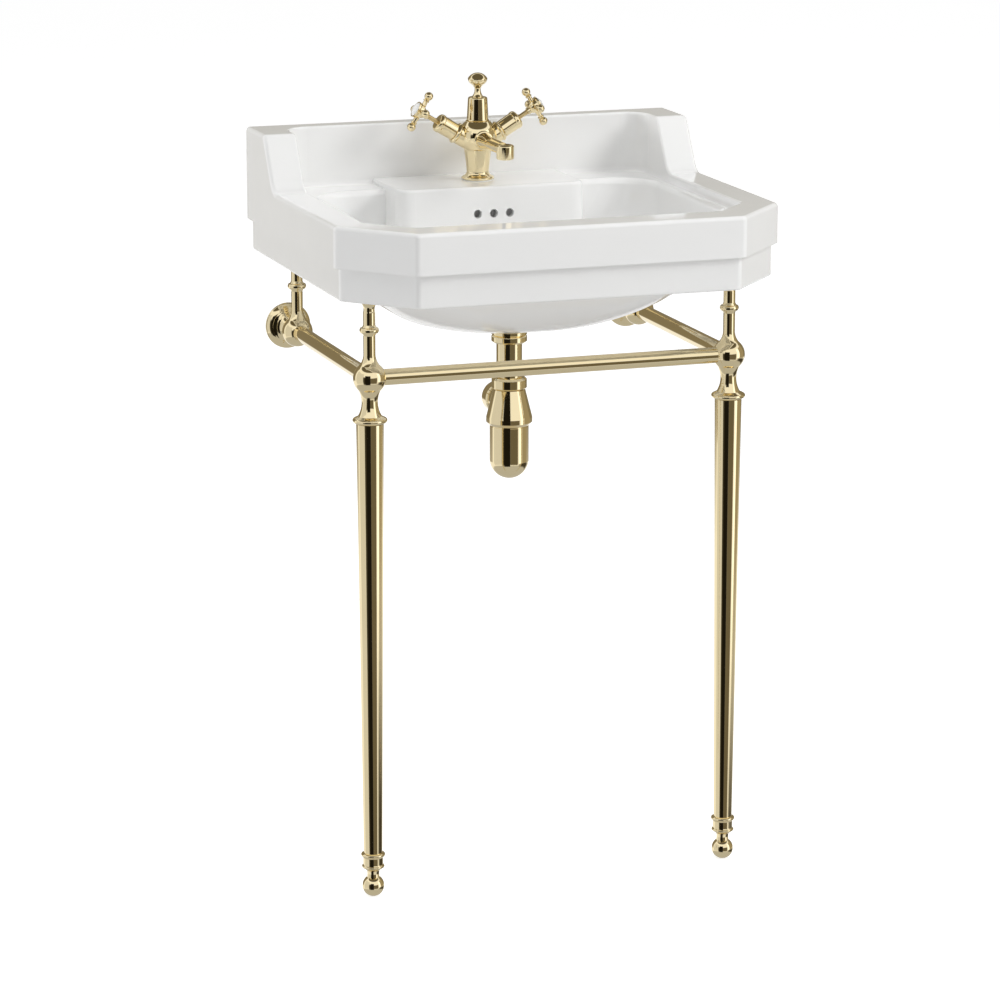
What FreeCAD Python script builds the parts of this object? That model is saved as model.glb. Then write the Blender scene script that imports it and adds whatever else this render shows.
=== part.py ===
import FreeCAD
import Part

import math
import os

# A console sink: a ceramic basin with an upstand, on a turned metal stand with two front legs,
# fixed to the wall at the back. Millimetres. X runs along the wall, Y towards the wall, Z up.
# The origin is on the floor, under the middle of the basin.

# Basin, outside
BASIN_WIDTH = 560.0
BASIN_DEPTH = 470.0
UPSTAND_TOP = 900.0
RIM_HEIGHT = 834.0
CHAMFER_WIDTH = 76.0
CHAMFER_DEPTH = 84.5
UPPER_BAND_HEIGHT = 49.5
LOWER_BAND_HEIGHT = 40.5
BAND_STEP = 7.0
CORNER_ROUNDING = 9.0
RIM_ROUNDING = 5.0
BAND_ROUNDING = 3.0
APRON_WALL = 14.0
BACK_WALL = 18.0
DECK_THICKNESS = 14.0

# Upstand and side wings
UPSTAND_THICKNESS = 24.0
WING_TOP_LENGTH = 80.0
WING_FOOT_LENGTH = 120.0
WING_SHOULDER_ROUNDING = 10.0
WING_FOOT_ROUNDING = 24.0
UPSTAND_CORNER_ROUNDING = 30.0
INNER_EDGE_ROUNDING = 3.0

# Recessed deck inside the border
BORDER_WIDTH = 42.0
BORDER_FRONT_WIDTH = 48.0
RECESS_DROP = 9.5
RECESS_CORNER_ROUNDING = 12.0
RECESS_FLOOR_ROUNDING = 6.0

# Tap shelf, which juts into the bowl
SHELF_DROP = 3.0
SHELF_HALF_WIDTH = 123.0
SHELF_REACH = 137.0
SHELF_DRAFT = 5.0
SHELF_CORNER_ROUNDING = 20.0
SHELF_EDGE_ROUNDING = 4.0
SHELF_THICKNESS = 16.0
SHELF_WALL = 9.0

# Bowl
BOWL_HALF_WIDTH = 220.0
BOWL_HALF_DEPTH = 155.0
BOWL_DEPTH = 138.5
BOWL_FLOOR_HALF_SIZE = 92.0
BOWL_CORNER_RADIUS = 52.0
BOWL_LIP = 7.0
BOWL_WALL = 11.0
BOWL_FLOOR_THICKNESS = 12.0
BOWL_CURVE_POWER = 1.9
BOWL_WALL_SECTIONS = 6
BOWL_LIP_SECTIONS = 4
BOWL_LIP_TURN = 75.0

# Drain, overflow and fixing holes of the basin
WASTE_FROM_WALL = 198.5
DRAIN_RADIUS = 20.0
DRAIN_SEAT_RADIUS = 33.0
DRAIN_SEAT_DROP = 4.5
DRAIN_DISH_RADIUS = 44.0
DRAIN_BOSS_RADIUS = 26.0
DRAIN_BOSS_DROP = 12.0
OVERFLOW_HOLE_RADIUS = 5.25
OVERFLOW_HOLE_SPACING = 21.0
OVERFLOW_HOLES = 3
OVERFLOW_DROP = 36.5
DUCT_HALF_WIDTH = 28.0
DUCT_GAP = 8.0
DUCT_SKIN = 5.0
TAP_FROM_WALL = 75.4
TAP_HOLE_RADIUS = 17.5
WALL_HOLE_RADIUS = 7.0
WALL_HOLE_SPACING = 280.0
WALL_HOLE_HEIGHT = 780.0
CORNER_BOSS_RADIUS = 31.0

# Stand
STAND_INSET = 50.7
RAIL_HEIGHT = 645.0
RAIL_RADIUS = 9.8
RAIL_WALL = 1.5
FRONT_JOINT_FROM_WALL = 357.4
REAR_JOINT_FROM_WALL = 45.2
FRONT_BALL_RADIUS = 19.8
REAR_BALL_RADIUS = 19.3
BALL_SHOULDER_SHARE = 0.62
BALL_NECK_SHARE = 0.68
NECK_RADIUS = 9.8
NECK_FLARE = 3.6
NECK_DROP = 31.0
COLLAR_RADIUS = 20.8
COLLAR_DROP = 51.0
COLLAR_THICKNESS = 8.0
LEG_TOP_RADIUS = 16.6
LEG_BOTTOM_RADIUS = 11.4
LEG_WALL = 2.0
SPIGOT_LENGTH = 24.0
UPRIGHT_RADIUS = 7.2
UPRIGHT_FLARE_HEIGHT = 28.0
UPRIGHT_RING_HEIGHT = 58.0
UPRIGHT_RING_RADIUS = 11.6
UPRIGHT_RING_THICKNESS = 7.0
UPRIGHT_HEAD_RADIUS = 14.0
UPRIGHT_HEAD_THICKNESS = 3.5
UPRIGHT_TENON_RADIUS = 5.0
UPRIGHT_TENON_LENGTH = 10.0
PAD_THICKNESS = 2.0

# Foot and its ferrule
FERRULE_TOP_RING_HEIGHT = 52.5
FERRULE_TOP_RING_RADIUS = 14.8
FERRULE_RADIUS = 12.3
FERRULE_LOW_RING_HEIGHT = 38.0
FERRULE_LOW_RING_RADIUS = 13.8
FERRULE_BOTTOM = 32.5
FERRULE_RING_THICKNESS = 5.0
FOOT_BALL_RADIUS = 13.5
FOOT_BALL_HEIGHT = 12.8
FOOT_NECK_RADIUS = 7.8
FOOT_STUD_RADIUS = 4.9
FOOT_STUD_LENGTH = 40.0

# Wall fixing of the stand
ROSE_RADIUS = 29.0
ROSE_DEPTH = 18.0
ROSE_SHELL = 2.5
ROSE_STEP_RADII = (20.5, 16.0, 12.8)
PLATE_RADIUS = 25.0
PLATE_THICKNESS = 3.0
PLATE_HOLE_RADIUS = 2.6
PLATE_HOLE_SPACING = 34.0
PLATE_SPIGOT_RADIUS = 6.0
PLATE_SPIGOT_LENGTH = 14.0

# Waste
WASTE_FLANGE_RADIUS = 31.5
WASTE_FLANGE_THICKNESS = 2.5
WASTE_BORE_RADIUS = 16.0
WASTE_TAIL_RADIUS = 19.0
SEAL_THICKNESS = 1.5
WASTE_NUT_RADIUS = 22.2
BACK_NUT_THICKNESS = 5.5
UNION_NUT_HEIGHT = 9.5
OVERFLOW_SLOT_HEIGHT = 7.0
OVERFLOW_SLOT_WIDTH = 12.0
OVERFLOW_SLOTS = 4
PLUG_RADIUS = 30.5
PLUG_DOME = 5.0
PLUG_EDGE = 3.0
PLUG_LIFT = 8.0
PLUG_HUB_HEIGHT = 2.2
PLUG_HUB_INSET = 3.5
STEM_RADIUS = 4.0
CARTRIDGE_RADIUS = 9.0
CARTRIDGE_ARM_WIDTH = 4.0

# Trap
PIPE_RADIUS = 16.0
PIPE_WALL = 1.2
TRAP_TOP = 601.0
TRAP_NUT_RADIUS = 22.0
TRAP_NUT_HEIGHT = 15.0
TRAP_NECK_RADIUS = 20.0
TRAP_SKIRT_RADIUS = 28.8
TRAP_CONE_HEIGHT = 33.0
TRAP_SKIRT_HEIGHT = 12.0
TRAP_CUP_RADIUS = 24.4
TRAP_CUP_BOTTOM = 472.5
TRAP_CUP_FLATTENING = 2.0
TRAP_WALL = 2.2
TRAP_THREAD_HEIGHT = 14.0
TRAP_LEDGE_THICKNESS = 2.0
DIP_TUBE_RADIUS = 12.5
DIP_TUBE_WALL = 1.2
DIP_TUBE_END = 500.0
DIP_TUBE_RIM = 2.0
OUTLET_DROP = 33.5
OUTLET_REACH = 50.0
OUTLET_NUT_RADIUS = 20.2
OUTLET_NUT_LENGTH = 20.0
OUTLET_THREAD_RADIUS = 18.2
OUTLET_BORE_RADIUS = 16.2
OUTLET_SOCKET_DEPTH = 24.5
OUTLET_WATERWAY_RADIUS = 14.2
OUTLET_SEAL_LENGTH = 3.0

# Tap body
TAP_FLANGE_RADIUS = 20.6
TAP_FLANGE_THICKNESS = 4.0
TAP_WAIST_RADIUS = 14.2
TAP_WAIST_HEIGHT = 10.5
TAP_STEM_RADIUS = 17.5
TAP_BULB_RADIUS = 24.2
TAP_BULB_HEIGHT = 54.0
TAP_CROWN_HEIGHT = 73.3
TAP_CROWN_RADIUS = 15.2
TAP_CHAMBER_RADIUS = 8.0
COLUMN_BASE_RADIUS = 13.6
COLUMN_TOP_RADIUS = 12.2
COLUMN_HEIGHT = 30.0
COLUMN_WALL = 2.5
COLUMN_SPIGOT = 4.0
COLUMN_SPIGOT_RADIUS = 9.6
COLUMN_ROUNDING = 2.5
FINIAL_NECK_RADIUS = 3.9
FINIAL_BASE_RADIUS = 6.6
FINIAL_KNOB_RADIUS = 12.2
FINIAL_NECK_HEIGHT = 11.0
FINIAL_HEIGHT = 30.3
FINIAL_CROWN = 7.0
SPOUT_REACH = 107.6
SPOUT_HEIGHT = 51.0
SPOUT_RING_RADIUS = 12.4
SPOUT_ROOT_RADIUS = 10.2
SPOUT_TIP_RADIUS = 7.8
SPOUT_BORE_RADIUS = 3.2
NOZZLE_RADIUS = 11.0
NOZZLE_HEIGHT = 18.2
NOZZLE_WALL = 1.8
NOZZLE_RISE = 6.5
NOZZLE_SPIGOT_RADIUS = 4.4
NOZZLE_ROUNDING = 3.0
STRAIGHTENER_HEIGHT = 4.5
STRAIGHTENER_INSET = 2.0
STRAIGHTENER_HOLE_RADIUS = 1.8
STRAIGHTENER_HOLES = 6

# Tap valves and handles, measured along the slanted valve axis
VALVE_TILT = 31.5
VALVE_ORIGIN_HEIGHT = 41.3
VALVE_ARM_RADIUS = 12.0
VALVE_ARM_RING_RADIUS = 13.2
VALVE_ARM_END = 36.0
VALVE_COVER_RADIUS = 11.0
VALVE_COVER_LENGTH = 27.4
VALVE_COVER_LIP_RADIUS = 11.9
VALVE_COVER_WALL = 1.6
VALVE_PORT_RADIUS = 3.0
CARTRIDGE_BODY_RADIUS = 8.0
CARTRIDGE_BODY_START = 17.0
CARTRIDGE_BODY_LENGTH = 40.0
SPINDLE_RADIUS = 2.9
HUB_DISTANCE = 88.7
HUB_RADIUS = 9.4
HUB_HEIGHT = 13.0
HUB_NECK_LENGTH = 5.0
HANDLE_REACH = 22.0
HANDLE_BALL_RADIUS = 5.4
HANDLE_ARM_RADIUS = 2.7
HANDLE_ARMS = 4
INDEX_RADIUS = 9.2
INDEX_HEIGHT = 2.2
INDEX_DOME = 4.2

# Tap fixing under the shelf
GASKET_THICKNESS = 1.0
GASKET_INSET = 1.0
SHANK_RADIUS = 15.0
SHANK_LENGTH = 52.0
SHANK_SPIGOT = 6.0
SHANK_SPIGOT_RADIUS = 12.0
WASHER_RADIUS = 20.5
RUBBER_WASHER_THICKNESS = 3.0
METAL_WASHER_THICKNESS = 2.0
TAP_NUT_FLATS = 36.0
TAP_NUT_HEIGHT = 9.0
INLET_RADIUS = 4.5
INLET_SPACING = 14.0
INLET_DEPTH = 16.0

# Clearances
FIT = 0.1
GAP = 0.3

# Derived places
WALL_Y = BASIN_DEPTH / 2
STAND_HALF_WIDTH = BASIN_WIDTH / 2 - STAND_INSET
OUTLET_HEIGHT = TRAP_TOP - OUTLET_DROP
APRON_BOTTOM = RIM_HEIGHT - UPPER_BAND_HEIGHT - LOWER_BAND_HEIGHT
BAND_SEAM = RIM_HEIGHT - UPPER_BAND_HEIGHT
RECESS_FLOOR = RIM_HEIGHT - RECESS_DROP
SHELF_TOP = RIM_HEIGHT - SHELF_DROP
BOWL_FLOOR = RECESS_FLOOR - BOWL_DEPTH
BELLY_BOTTOM = BOWL_FLOOR - BOWL_FLOOR_THICKNESS
DRAIN_SEAT = BOWL_FLOOR - DRAIN_SEAT_DROP
BOSS_BOTTOM = BELLY_BOTTOM - DRAIN_BOSS_DROP
WASTE_Y = WALL_Y - WASTE_FROM_WALL
TAP_Y = WALL_Y - TAP_FROM_WALL
FRONT_Y = WALL_Y - FRONT_JOINT_FROM_WALL
REAR_Y = WALL_Y - REAR_JOINT_FROM_WALL
SHELF_Y = WALL_Y - SHELF_REACH
UPSTAND_Y = WALL_Y - UPSTAND_THICKNESS
FLANGE_TOP = DRAIN_SEAT + SEAL_THICKNESS + WASTE_FLANGE_THICKNESS
BACK_NUT_TOP = BOSS_BOTTOM - SEAL_THICKNESS
BACK_NUT_BOTTOM = BACK_NUT_TOP - BACK_NUT_THICKNESS
UNION_BOTTOM = BACK_NUT_BOTTOM - UNION_NUT_HEIGHT
TAIL_END = UNION_BOTTOM + UNION_NUT_HEIGHT / 2
TRAP_BODY_TOP = TRAP_TOP - TRAP_NUT_HEIGHT
TRAP_SKIRT_TOP = TRAP_BODY_TOP - TRAP_CONE_HEIGHT
TRAP_BODY_BOTTOM = TRAP_SKIRT_TOP - TRAP_SKIRT_HEIGHT
TRAP_LEDGE = TRAP_BODY_TOP - 4.0
TRAP_THREAD_TOP = TRAP_BODY_BOTTOM + TRAP_THREAD_HEIGHT
OUTLET_END_Y = WASTE_Y + OUTLET_REACH
OUTLET_SEAL_Y = OUTLET_END_Y - 2 * OUTLET_SEAL_LENGTH
DIP_TUBE_TOP = TRAP_LEDGE + DIP_TUBE_RIM
TAP_BASE = SHELF_TOP + GASKET_THICKNESS
CROWN_TOP = TAP_BASE + TAP_CROWN_HEIGHT
COLUMN_TOP = CROWN_TOP + COLUMN_HEIGHT
SPOUT_Z = TAP_BASE + SPOUT_HEIGHT
NOZZLE_Y = TAP_Y - SPOUT_REACH
NOZZLE_BOTTOM = SPOUT_Z + NOZZLE_RISE - NOZZLE_HEIGHT
SHANK_BOTTOM = TAP_BASE + SHANK_SPIGOT - SHANK_LENGTH
SHELF_UNDERSIDE = SHELF_TOP - SHELF_THICKNESS
LEG_TOP = RAIL_HEIGHT - COLLAR_DROP - COLLAR_THICKNESS / 2
LEG_BOTTOM = FERRULE_TOP_RING_HEIGHT + FERRULE_RING_THICKNESS / 2
RAIL_START = RAIL_RADIUS + 2 * GAP

UP = FreeCAD.Vector(0, 0, 1)
DOWN = FreeCAD.Vector(0, 0, -1)
TO_WALL = FreeCAD.Vector(0, 1, 0)
TO_FRONT = FreeCAD.Vector(0, -1, 0)
SIDES = {"left": -1, "right": 1}


# ---- helpers ----

def point(x, y, z):
    return FreeCAD.Vector(x, y, z)


def on_level(z):
    """Places a plan point (x, y) at height z."""
    return lambda p: point(p.x, p.y, z)


def on_side(x):
    """Places a side-view point (y, z) at x."""
    return lambda p: point(x, p.x, p.y)


def corner_arc(before, corner, after, radius):
    """Start, middle and end of the arc that rounds a corner."""
    back = (before - corner).normalize()
    ahead = (after - corner).normalize()
    half_angle = back.getAngle(ahead) / 2
    reach = radius / math.tan(half_angle)
    bisector = (back + ahead).normalize()
    middle = corner + bisector * (radius / math.sin(half_angle) - radius)
    return corner + back * reach, middle, corner + ahead * reach


def rounded_wire(corners, radii, place):
    """Closed wire through 2-D corners, each rounded by its own radius (0 keeps it sharp)."""
    corners = [FreeCAD.Vector(a, b, 0) for a, b in corners]
    stretches = []
    for index, corner in enumerate(corners):
        after = corners[(index + 1) % len(corners)]
        if radii[index] > 0:
            stretches.append(corner_arc(corners[index - 1], corner, after, radii[index]))
        else:
            stretches.append((corner, None, corner))
    edges = []
    for index, (start, middle, end) in enumerate(stretches):
        if middle is not None:
            edges.append(Part.Arc(place(start), place(middle), place(end)).toShape())
        following = stretches[(index + 1) % len(stretches)][0]
        if (following - end).Length > 1e-6:
            edges.append(Part.LineSegment(place(end), place(following)).toShape())
    return Part.Wire(edges)


def prism(corners, radii, low, high):
    """Upright prism over a rounded plan outline."""
    return Part.Face(rounded_wire(corners, radii, on_level(low))).extrude(point(0, 0, high - low))


def side_prism(corners, radii, half_width):
    """Prism across X over a rounded side-view outline of (y, z) corners."""
    face = Part.Face(rounded_wire(corners, radii, on_side(-half_width)))
    return face.extrude(point(2 * half_width, 0, 0))


def turned(outline, base, axis=UP):
    """Turned piece: a closed outline of (radius, height) corners, revolved about an axis from base.
    A corner of four numbers ends an arc that passes through its first two."""
    start = outline[0]
    edges = []
    for corner in outline[1:] + [start]:
        begin = point(start[-2], 0, start[-1])
        end = point(corner[-2], 0, corner[-1])
        if len(corner) == 4:
            edges.append(Part.Arc(begin, point(corner[0], 0, corner[1]), end).toShape())
        elif (end - begin).Length > 1e-6:
            edges.append(Part.LineSegment(begin, end).toShape())
        start = corner
    solid = Part.Face(Part.Wire(edges)).revolve(point(0, 0, 0), UP, 360)
    solid.Placement = FreeCAD.Placement(base, FreeCAD.Rotation(UP, axis))
    return solid


def dome(radius, height, rise):
    """Outline corner of a spherical cap that runs from (radius, height) to the axis."""
    sphere = (radius ** 2 + rise ** 2) / (2 * rise)
    half_angle = math.asin(radius / abs(sphere)) / 2
    middle = height + rise - sphere + sphere * math.cos(half_angle)
    return abs(sphere) * math.sin(half_angle), middle, 0, height + rise


def on_ball(ball_radius, radius):
    """Height above a ball's middle at which the ball is as wide as the given radius."""
    return math.sqrt(ball_radius ** 2 - radius ** 2)


def cylinder(radius, length, base, axis=UP):
    return Part.makeCylinder(radius, length, base, axis)


def ring(outer, inner, length, base, axis=UP):
    return cylinder(outer, length, base, axis).cut(cylinder(inner, length, base, axis))


def box(low, high):
    return Part.makeBox(high[0] - low[0], high[1] - low[1], high[2] - low[2], point(*low))


def fused(shapes):
    """One clean solid from pieces that touch or overlap."""
    return shapes[0].multiFuse(shapes[1:]).removeSplitter()


def is_vertical(edge):
    box_of_edge = edge.BoundBox
    return box_of_edge.XLength < 1e-4 and box_of_edge.YLength < 1e-4


def is_across(edge):
    box_of_edge = edge.BoundBox
    return box_of_edge.YLength < 1e-4 and box_of_edge.ZLength < 1e-4


def level_edges(shape, height):
    """Edges that lie wholly at one height."""
    found = []
    for edge in shape.Edges:
        if abs(edge.BoundBox.ZMin - height) < 1e-4 and abs(edge.BoundBox.ZMax - height) < 1e-4:
            found.append(edge)
    return found


# ---- basin ----

def plan_corners(side_inset, front_inset, back):
    """Corners of the chamfered basin plan, moved inwards at the sides and the front."""
    x = BASIN_WIDTH / 2 - side_inset
    front = -BASIN_DEPTH / 2 + front_inset
    slant = math.hypot(CHAMFER_WIDTH, CHAMFER_DEPTH)
    across = CHAMFER_DEPTH / slant
    along = -CHAMFER_WIDTH / slant
    offset = across * BASIN_WIDTH / 2 + along * (CHAMFER_DEPTH - BASIN_DEPTH / 2) - side_inset
    chamfer_y = (offset - across * x) / along
    chamfer_x = (offset - along * front) / across
    return [
        (x, back), (-x, back), (-x, chamfer_y), (-chamfer_x, front), (chamfer_x, front), (x, chamfer_y),
    ]


def shelf_front(z):
    """Y of the bowl's back wall under the tap shelf, which slopes forward as it goes down."""
    return SHELF_Y - (SHELF_TOP - z) * math.tan(math.radians(SHELF_DRAFT))


def shelf_block(low, high, inset, back):
    """Block of the tap shelf between two heights, or the hollow inside it. Its front slopes."""
    outline = [(back, low), (back, high), (shelf_front(high) + inset, high), (shelf_front(low) + inset, low)]
    block = side_prism(outline, [0] * 4, SHELF_HALF_WIDTH - inset)
    corners = [edge for edge in block.Edges if not is_across(edge) and edge.BoundBox.YMax < back - GAP]
    corners = [edge for edge in corners if edge.BoundBox.ZLength > GAP]
    return block.makeFillet(SHELF_CORNER_ROUNDING - inset / 2, corners)


def tap_shelf():
    """The whole shelf with its soft upper edge, down to the bowl's floor."""
    shelf = shelf_block(BOWL_FLOOR, SHELF_TOP, 0, WALL_Y - GAP)
    crest = [edge for edge in level_edges(shelf, SHELF_TOP) if edge.BoundBox.YMin < UPSTAND_Y]
    return shelf.makeFillet(SHELF_EDGE_ROUNDING, crest)


def bowl_section(top, drop, depth, half_sizes, floor_half_size, flare):
    """Rounded outline of the bowl at one depth. The bowl drifts towards the drain as it deepens."""
    share = drop / depth
    narrowing = max(0.0, 1 - share ** BOWL_CURVE_POWER) ** (1 / BOWL_CURVE_POWER)
    x, y = [floor_half_size + (half - floor_half_size) * narrowing + flare for half in half_sizes]
    middle = WASTE_Y * share ** 2
    rounding = min(BOWL_CORNER_RADIUS * (1 + share) + flare, 0.9 * y)
    corners = [(x, middle + y), (-x, middle + y), (-x, middle - y), (x, middle - y)]
    return rounded_wire(corners, [rounding] * 4, on_level(top - drop))


def bowl_body(top, depth, half_sizes, floor_half_size, start):
    """Lofted bowl form. Its sides follow one curve from a start depth down to a flat floor."""
    wires = []
    for k in range(BOWL_WALL_SECTIONS + 1):
        drop = start + (depth - start) * math.sin(math.pi / 2 * k / BOWL_WALL_SECTIONS)
        wires.append(bowl_section(top, drop, depth, half_sizes, floor_half_size, 0))
    return Part.makeLoft(wires, True, False)


def bowl_lip(half_sizes):
    """Rolled lip of the bowl, which opens out and ends just above the deck."""
    wires = []
    for k in range(BOWL_LIP_SECTIONS + 1):
        angle = math.radians(BOWL_LIP_TURN) * k / BOWL_LIP_SECTIONS
        drop = BOWL_LIP * (1 - math.sin(angle))
        flare = BOWL_LIP * (1 - math.cos(angle))
        wires.append(bowl_section(RECESS_FLOOR, drop, BOWL_DEPTH, half_sizes, BOWL_FLOOR_HALF_SIZE, flare))
    lip = Part.makeLoft(wires, True, False)
    rim = wires[-1]
    above = Part.Face(rim).extrude(UP * BOWL_LIP)
    return lip.fuse(above)


def upper_body(shelf):
    """Upper band with upstand and wings. The recessed deck is cut into it round the tap shelf."""
    front = -BASIN_DEPTH / 2
    side_view = [
        (WALL_Y, BAND_SEAM), (WALL_Y, UPSTAND_TOP), (WALL_Y - WING_TOP_LENGTH, UPSTAND_TOP),
        (WALL_Y - WING_FOOT_LENGTH, RIM_HEIGHT), (front, RIM_HEIGHT), (front, BAND_SEAM),
    ]
    roundings = [0, 0, WING_SHOULDER_ROUNDING, WING_FOOT_ROUNDING, 0, 0]
    corner_radii = [0, 0] + [CORNER_ROUNDING] * 4
    body = prism(plan_corners(0, 0, WALL_Y), corner_radii, BAND_SEAM, UPSTAND_TOP)
    body = body.common(side_prism(side_view, roundings, BASIN_WIDTH / 2))
    body = body.makeFillet(RIM_ROUNDING, outer_rim_edges(body))
    recess_plan = plan_corners(BORDER_WIDTH, BORDER_FRONT_WIDTH, UPSTAND_Y)
    recess_radii = [UPSTAND_CORNER_ROUNDING] * 2 + [RECESS_CORNER_ROUNDING] * 4
    recess = prism(recess_plan, recess_radii, RECESS_FLOOR, UPSTAND_TOP + RIM_ROUNDING)
    recess = recess.makeFillet(RECESS_FLOOR_ROUNDING, level_edges(recess, RECESS_FLOOR))
    body = body.cut(recess.cut(shelf))
    wall = rounded_wire(recess_plan, recess_radii, on_level(RECESS_FLOOR)).extrude(UP * UPSTAND_TOP)
    return body.makeFillet(INNER_EDGE_ROUNDING, inner_rim_edges(body, wall))


def outer_rim_edges(body):
    """The outer top edge of the basin, from one wall end round the front to the other."""
    found = []
    for edge in body.Edges:
        across = is_across(edge) and edge.BoundBox.YMin > -BASIN_DEPTH / 2 + 1e-4
        if edge.BoundBox.ZMin > BAND_SEAM + 1 and not is_vertical(edge) and not across:
            found.append(edge)
    return found


def inner_rim_edges(body, wall):
    """The edge between the border, the wings or the upstand and the wall of the recess."""
    found = []
    for edge in body.Edges:
        if edge.BoundBox.ZMin < RIM_HEIGHT - 1 or is_vertical(edge):
            continue
        samples = edge.discretize(3)
        if all(wall.distToShape(Part.Vertex(sample))[0] < 1e-3 for sample in samples):
            found.append(edge)
    return found


def lower_body():
    """Lower, slightly narrower band of the apron."""
    corner_radii = [0, 0] + [CORNER_ROUNDING] * 4
    body = prism(plan_corners(BAND_STEP, BAND_STEP, WALL_Y), corner_radii, APRON_BOTTOM, BAND_SEAM)
    rim = [edge for edge in level_edges(body, APRON_BOTTOM) if edge.BoundBox.YMin < WALL_Y - 1]
    return body.makeFillet(BAND_ROUNDING, rim)


def drain_boss():
    """Boss under the belly that the waste passes through."""
    foot = DRAIN_BOSS_RADIUS
    spread = foot + DRAIN_BOSS_DROP
    half = DRAIN_BOSS_DROP / 2
    outline = [
        (0, 0), (foot - BAND_ROUNDING, 0),
        (foot - BAND_ROUNDING * 0.3, BAND_ROUNDING * 0.3, foot, BAND_ROUNDING),
        (foot, half), (foot + half * 0.3, half * 1.7, spread, DRAIN_BOSS_DROP),
        (spread, DRAIN_BOSS_DROP + BOWL_FLOOR_THICKNESS / 3), (0, DRAIN_BOSS_DROP + BOWL_FLOOR_THICKNESS / 3),
    ]
    return turned(outline, point(0, WASTE_Y, BOSS_BOTTOM))


def overflow_duct(skin):
    """The passage from the overflow holes down the back of the bowl to the drain, or its outer skin."""
    top = RIM_HEIGHT - OVERFLOW_DROP + OVERFLOW_HOLE_RADIUS + GAP + skin
    turn = BELLY_BOTTOM - DUCT_GAP / 2 - skin
    end = BOSS_BOTTOM + BAND_ROUNDING + (DUCT_SKIN - skin)
    near = SHELF_WALL - skin
    far = SHELF_WALL + DUCT_GAP + skin
    corners = [
        (shelf_front(top) + near, top), (shelf_front(top) + far, top), (shelf_front(turn) + far, turn),
        (WASTE_Y + skin, end), (WASTE_Y + skin, end + DUCT_GAP + skin),
        (shelf_front(BELLY_BOTTOM) + near, BELLY_BOTTOM + DUCT_GAP / 2 + skin),
    ]
    return side_prism(corners, [0] * 6, DUCT_HALF_WIDTH + skin)


def basin():
    """Ceramic basin: apron, deck, bowl, tap shelf, overflow and every hole."""
    shelf = tap_shelf()
    outer_bowl = bowl_body(
        RECESS_FLOOR - DECK_THICKNESS / 2, BOWL_DEPTH + BOWL_FLOOR_THICKNESS - DECK_THICKNESS / 2,
        (BOWL_HALF_WIDTH + BOWL_WALL, BOWL_HALF_DEPTH + BOWL_WALL), BOWL_FLOOR_HALF_SIZE - BOWL_WALL / 2, 0)
    half_sizes = (BOWL_HALF_WIDTH, BOWL_HALF_DEPTH)
    inner_bowl = bowl_body(RECESS_FLOOR, BOWL_DEPTH, half_sizes, BOWL_FLOOR_HALF_SIZE, BOWL_LIP)
    inner_bowl = inner_bowl.fuse(bowl_lip(half_sizes))
    shelf_hollow = shelf_block(BELLY_BOTTOM - GAP, SHELF_UNDERSIDE, SHELF_WALL, WALL_Y - BACK_WALL)
    duct_skin = overflow_duct(DUCT_SKIN)
    body = fused([upper_body(shelf), lower_body(), outer_bowl, drain_boss(), duct_skin])

    inset = BAND_STEP + APRON_WALL
    pocket = prism(
        plan_corners(inset, inset, WALL_Y - BACK_WALL), [0] * 6, APRON_BOTTOM, RECESS_FLOOR - DECK_THICKNESS)
    kept = [outer_bowl.cut(shelf_hollow), duct_skin]
    for x in (-STAND_HALF_WIDTH, STAND_HALF_WIDTH):
        for y in (FRONT_Y, REAR_Y):
            kept.append(cylinder(CORNER_BOSS_RADIUS, RECESS_FLOOR - APRON_BOTTOM, point(x, y, APRON_BOTTOM)))
    hollow = pocket.fuse(shelf_hollow)
    for piece in kept:
        hollow = hollow.cut(piece)
    body = body.cut(hollow)
    body = body.cut(inner_bowl.cut(shelf))
    for cutter in basin_holes():
        body = body.cut(cutter)
    return body.removeSplitter()


def basin_holes():
    """Drain, dish, tap hole, overflow holes and passage, and the wall holes."""
    dish = turned([
        (0, DRAIN_SEAT), (DRAIN_SEAT_RADIUS, DRAIN_SEAT), (DRAIN_SEAT_RADIUS, DRAIN_SEAT + SEAL_THICKNESS),
        (DRAIN_DISH_RADIUS, BOWL_FLOOR), (DRAIN_DISH_RADIUS, BOWL_FLOOR + 1), (0, BOWL_FLOOR + 1),
    ], point(0, WASTE_Y, 0))
    drain = cylinder(DRAIN_RADIUS, BOWL_FLOOR - BOSS_BOTTOM, point(0, WASTE_Y, BOSS_BOTTOM))
    tap_hole = cylinder(TAP_HOLE_RADIUS, SHELF_THICKNESS, point(0, TAP_Y, SHELF_UNDERSIDE))
    holes = [dish, drain, tap_hole, overflow_duct(0)]
    overflow_z = RIM_HEIGHT - OVERFLOW_DROP
    overflow_y = shelf_front(overflow_z)
    for k in range(OVERFLOW_HOLES):
        x = (k - (OVERFLOW_HOLES - 1) / 2) * OVERFLOW_HOLE_SPACING
        start = point(x, overflow_y - SHELF_WALL, overflow_z)
        holes.append(cylinder(OVERFLOW_HOLE_RADIUS, 2 * SHELF_WALL + DUCT_GAP / 2, start, TO_WALL))
    for x in (-WALL_HOLE_SPACING / 2, WALL_HOLE_SPACING / 2):
        start = point(x, WALL_Y - BACK_WALL - 1, WALL_HOLE_HEIGHT)
        holes.append(cylinder(WALL_HOLE_RADIUS, BACK_WALL + 2, start, TO_WALL))
    return holes


# ---- waste and plug ----

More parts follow.
